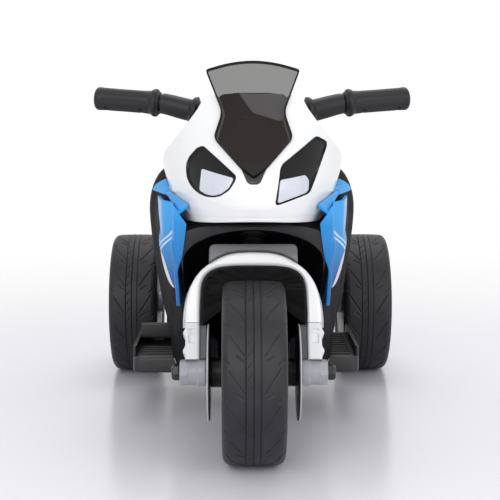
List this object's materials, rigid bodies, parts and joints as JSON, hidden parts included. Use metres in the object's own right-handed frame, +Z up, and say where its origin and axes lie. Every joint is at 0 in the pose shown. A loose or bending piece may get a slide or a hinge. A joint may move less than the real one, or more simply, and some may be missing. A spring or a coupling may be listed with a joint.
{
  "type": "ride-on motorcycle",
  "caption": "Child's three-wheeled electric ride-on motorcycle with a steered fork, a headlight fairing, footrests, a foot pedal and a lift-up seat.",
  "frame": {"origin": "middle of the bounding box on the floor under the wheels", "axes": "+Z up, -Y towards the nose, +Y towards the tail, +X to the rider's left"},
  "size_m": [0.372, 0.66, 0.4072],
  "materials": {
    "black_plastic": "satin",
    "tyre_plastic": "matte",
    "white_gloss": "gloss",
    "blue_gloss": "gloss",
    "silver_plastic": "satin silver",
    "smoke_screen": "clear smoke",
    "steel": "plain",
    "nylon": "natural",
    "red_lens": "gloss",
    "grey_plastic": "satin"
  },
  "bodies": {
    "main_body": {"chassis_left": "black_plastic", "chassis_right": "black_plastic", "arch_panel": "black_plastic", "nose_fairing": "white_gloss", "nose_insert": "grey_plastic", "headlight_bezel_left": "black_plastic", "headlight_bezel_right": "black_plastic", "headlight_lens_left": "silver_plastic", "headlight_lens_right": "silver_plastic", "windshield": "smoke_screen", "dashboard": "black_plastic", "side_panel_left": "blue_gloss", "side_panel_right": "blue_gloss", "air_fin_left": "blue_gloss", "air_fin_right": "blue_gloss", "tank_cover": "white_gloss", "tail_cowl": "white_gloss", "tail_light": "red_lens", "charging_socket": "grey_plastic", "footrest_left": "black_plastic", "footrest_right": "black_plastic", "pedal_switch": "grey_plastic", "rear_frame": "black_plastic", "gearbox": "grey_plastic", "motor": "steel", "battery": "grey_plastic", "rear_axle": "steel", "axle_bush_left": "nylon", "axle_bush_right": "nylon", "steering_bush_lower": "nylon", "steering_bush_upper": "nylon"},
    "steering_assembly": {"fork_crown": "grey_plastic", "fork_arch": "white_gloss", "fork_leg_left": "silver_plastic", "fork_leg_right": "silver_plastic", "front_mudguard": "black_plastic", "front_axle": "steel", "axle_cap_left": "black_plastic", "axle_cap_right": "black_plastic", "steering_column": "steel", "handlebar": "black_plastic", "handlebar_cover": "grey_plastic", "grip_left": "black_plastic", "grip_right": "black_plastic"},
    "front_wheel": {"front_tyre": "tyre_plastic", "front_hub": "silver_plastic", "brake_disc_left": "silver_plastic", "brake_disc_right": "silver_plastic"},
    "rear_left_wheel": {"rear_left_tyre": "tyre_plastic", "rear_left_hub": "silver_plastic", "rear_cap_left": "silver_plastic"},
    "rear_right_wheel": {"rear_right_tyre": "tyre_plastic", "rear_right_hub": "silver_plastic", "rear_cap_right": "silver_plastic"},
    "pedal": {"accelerator_pedal": "black_plastic"},
    "horn": {"horn_button": "red_lens"},
    "music": {"music_button": "blue_gloss"},
    "power": {"power_switch": "red_lens"},
    "direction": {"direction_switch": "grey_plastic"},
    "seat_lid": {"seat": "black_plastic"}
  },
  "joints": [
    {"name": "steering", "type": "hinge", "parent": "main_body", "child": "steering_assembly", "pos_m": [0, -0.237, 0.093], "axis": [0, 0.4067, 0.9135], "range_deg": [-28, 28]},
    {"name": "front_wheel_spin", "type": "hinge", "parent": "steering_assembly", "child": "front_wheel", "pos_m": [0, -0.237, 0.093], "axis": [1, 0, 0], "continuous": true},
    {"name": "rear_left_spin", "type": "hinge", "parent": "main_body", "child": "rear_left_wheel", "pos_m": [0.1545, 0.197, 0.093], "axis": [1, 0, 0], "continuous": true},
    {"name": "rear_right_spin", "type": "hinge", "parent": "main_body", "child": "rear_right_wheel", "pos_m": [-0.1545, 0.197, 0.093], "axis": [1, 0, 0], "continuous": true},
    {"name": "pedal_press", "type": "hinge", "parent": "main_body", "child": "pedal", "pos_m": [-0.1155, 0.076, 0.077], "axis": [1, 0, 0], "range_deg": [0, 5], "stiffness_Nm_per_rad": 0.15, "springref_deg": -28.65},
    {"name": "horn_press", "type": "slide", "parent": "steering_assembly", "child": "horn", "axis": [0, -0.4067, -0.9135], "range_m": [0, 0.002], "stiffness_N_per_m": 150, "springref_m": -0.004},
    {"name": "music_press", "type": "slide", "parent": "steering_assembly", "child": "music", "axis": [0, -0.4067, -0.9135], "range_m": [0, 0.002], "stiffness_N_per_m": 150, "springref_m": -0.004},
    {"name": "power_rock", "type": "hinge", "parent": "main_body", "child": "power", "pos_m": [0.024, -0.02, 0.305], "axis": [1, 0, 0], "range_deg": [-8, 8]},
    {"name": "direction_rock", "type": "hinge", "parent": "main_body", "child": "direction", "pos_m": [-0.024, -0.02, 0.305], "axis": [1, 0, 0], "range_deg": [-8, 8]},
    {"name": "seat_lift", "type": "hinge", "parent": "main_body", "child": "seat_lid", "pos_m": [0, 0.0365, 0.2605], "axis": [1, 0, 0], "range_deg": [0, 70]}
  ]
}
